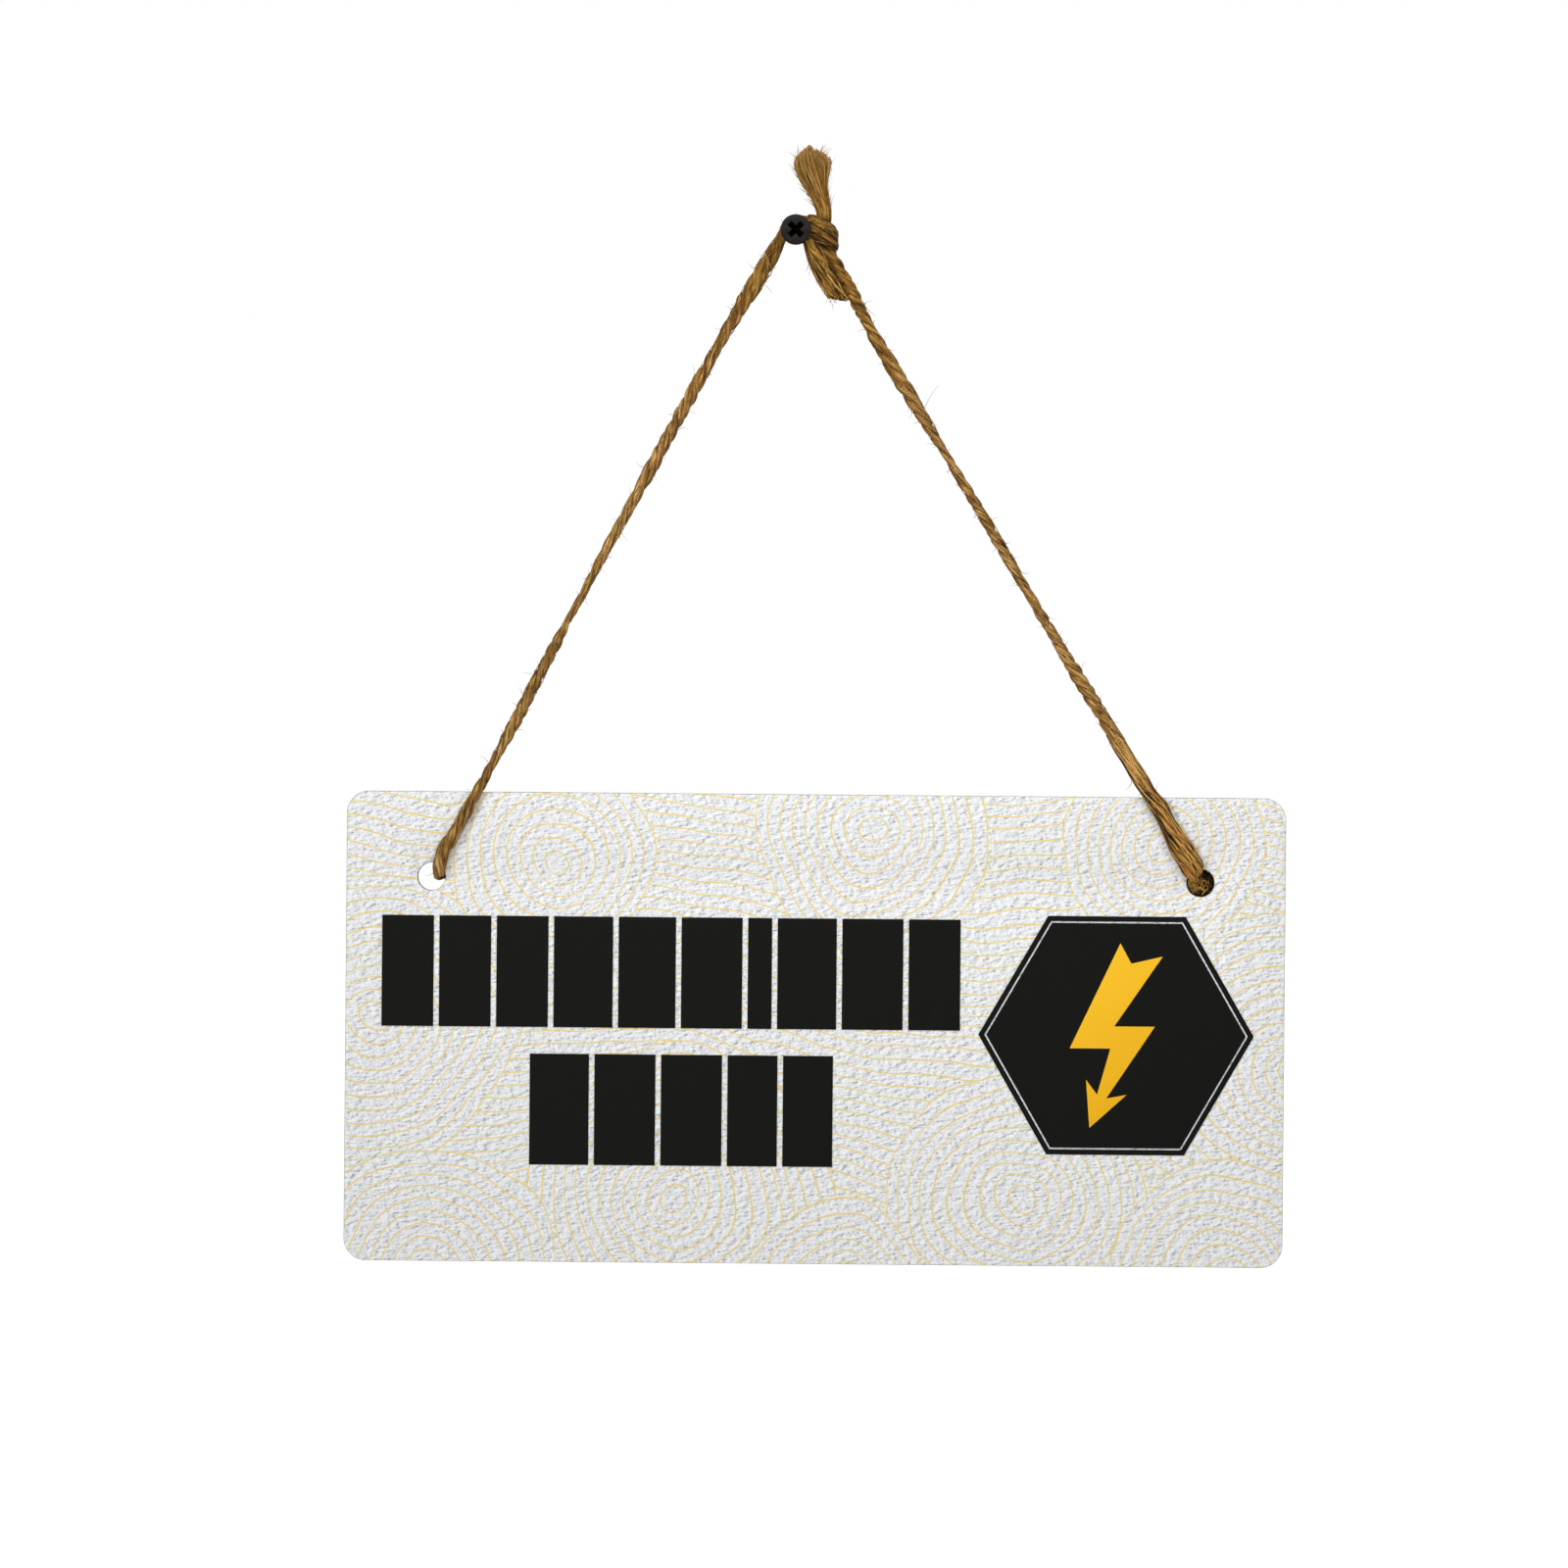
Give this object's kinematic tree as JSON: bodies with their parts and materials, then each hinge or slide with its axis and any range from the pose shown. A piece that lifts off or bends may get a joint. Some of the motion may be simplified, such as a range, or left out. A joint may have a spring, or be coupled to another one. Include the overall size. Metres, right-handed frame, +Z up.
{
  "type": "electrical panel sign",
  "caption": "Flat sign board with rounded corners, printed blocks and a lightning flash in a hexagon, hung by a loop of knotted jute twine over a black wall screw.",
  "frame": {"origin": "the point where the screw's axis meets the wall plane", "axes": "+Y along the screw into the wall, so the sign faces -Y; +Z up; +X to the right as seen from the front"},
  "size_m": [0.254, 0.032, 0.3028],
  "materials": {
    "board": "fibreboard with a white printed face that looks like rough plaster, brown back and scorched laser-cut edges",
    "black_ink": "flat black printing ink with a slight satin",
    "orange_ink": "flat orange-yellow printing ink, slightly darker towards the lower right",
    "twine": "plied natural jute twine with loose fibres",
    "screw": "steel screw with a dull black phosphate coat"
  },
  "bodies": {
    "root": {"sign_board": "board", "hexagon_print": "black_ink", "flash_print": "orange_ink", "upper_blocks": "black_ink", "lower_blocks": "black_ink", "hanging_twine": "twine", "twine_knot": "twine", "wall_screw": "screw"}
  },
  "joints": []
}
